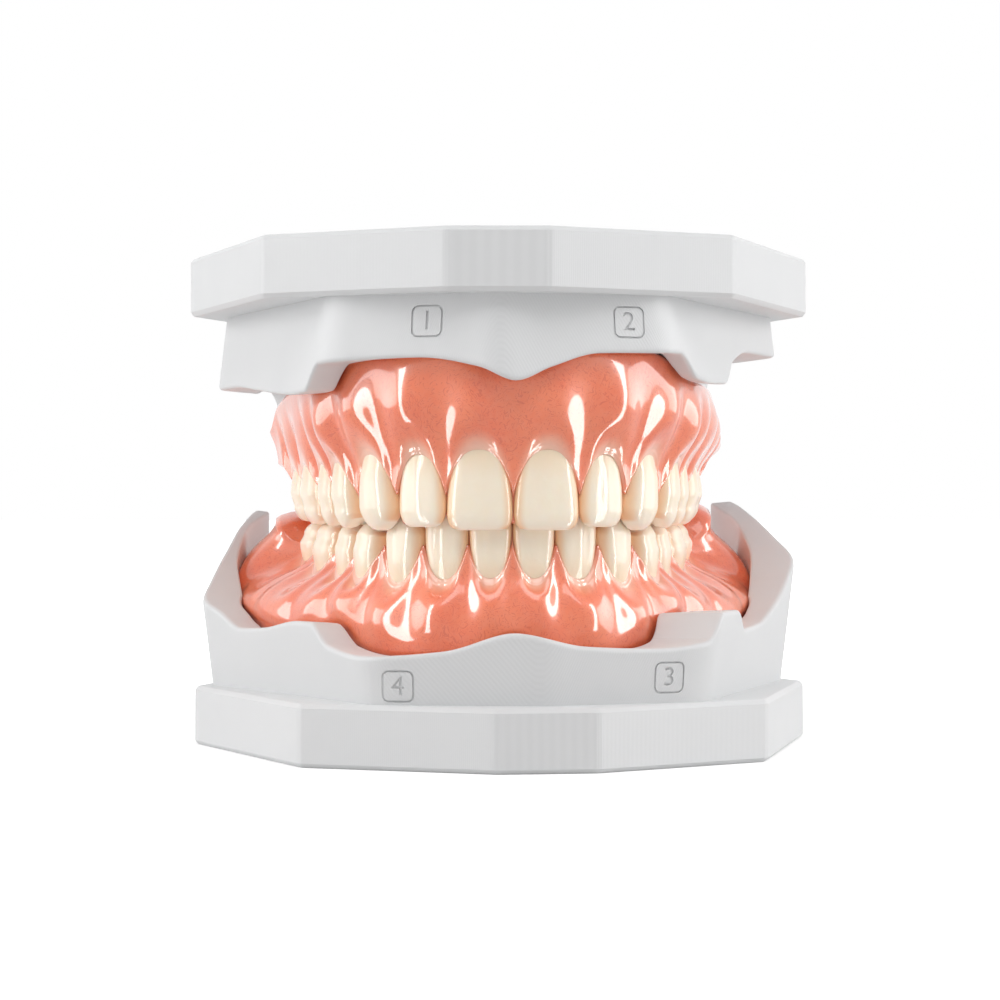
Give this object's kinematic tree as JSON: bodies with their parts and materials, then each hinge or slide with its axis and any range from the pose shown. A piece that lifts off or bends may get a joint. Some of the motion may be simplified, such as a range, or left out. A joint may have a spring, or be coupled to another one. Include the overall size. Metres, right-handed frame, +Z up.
{
  "type": "full denture on jaw models",
  "caption": "Upper and lower full dentures with pink acrylic bases and cream teeth, bitten together and seated on printed jaw models.",
  "frame": {"origin": "centre of the box around the part, on the underside of the lower model's slab", "axes": "+Z up, from the lower model to the upper one; the front teeth face -Y; +X to the wearer's left"},
  "size_m": [0.0888, 0.0728, 0.0693],
  "materials": {
    "print": "white 3D-printed resin, satin, with fine layer lines",
    "gum_acrylic": "glossy pink denture acrylic with fine red veins",
    "tooth_acrylic": "glossy cream tooth acrylic, slightly translucent"
  },
  "bodies": {
    "root": {"lower_model": "print", "lower_denture_base": "gum_acrylic", "lower_right_central_incisor": "tooth_acrylic", "lower_right_lateral_incisor": "tooth_acrylic", "lower_right_canine": "tooth_acrylic", "lower_right_first_premolar": "tooth_acrylic", "lower_right_second_premolar": "tooth_acrylic", "lower_right_first_molar": "tooth_acrylic", "lower_right_second_molar": "tooth_acrylic", "lower_left_central_incisor": "tooth_acrylic", "lower_left_lateral_incisor": "tooth_acrylic", "lower_left_canine": "tooth_acrylic", "lower_left_first_premolar": "tooth_acrylic", "lower_left_second_premolar": "tooth_acrylic", "lower_left_first_molar": "tooth_acrylic", "lower_left_second_molar": "tooth_acrylic", "upper_right_central_incisor": "tooth_acrylic", "upper_right_lateral_incisor": "tooth_acrylic", "upper_right_canine": "tooth_acrylic", "upper_right_first_premolar": "tooth_acrylic", "upper_right_second_premolar": "tooth_acrylic", "upper_right_first_molar": "tooth_acrylic", "upper_right_second_molar": "tooth_acrylic", "upper_left_central_incisor": "tooth_acrylic", "upper_left_lateral_incisor": "tooth_acrylic", "upper_left_canine": "tooth_acrylic", "upper_left_first_premolar": "tooth_acrylic", "upper_left_second_premolar": "tooth_acrylic", "upper_left_first_molar": "tooth_acrylic", "upper_left_second_molar": "tooth_acrylic", "upper_denture_base": "gum_acrylic", "upper_model": "print"}
  },
  "joints": []
}
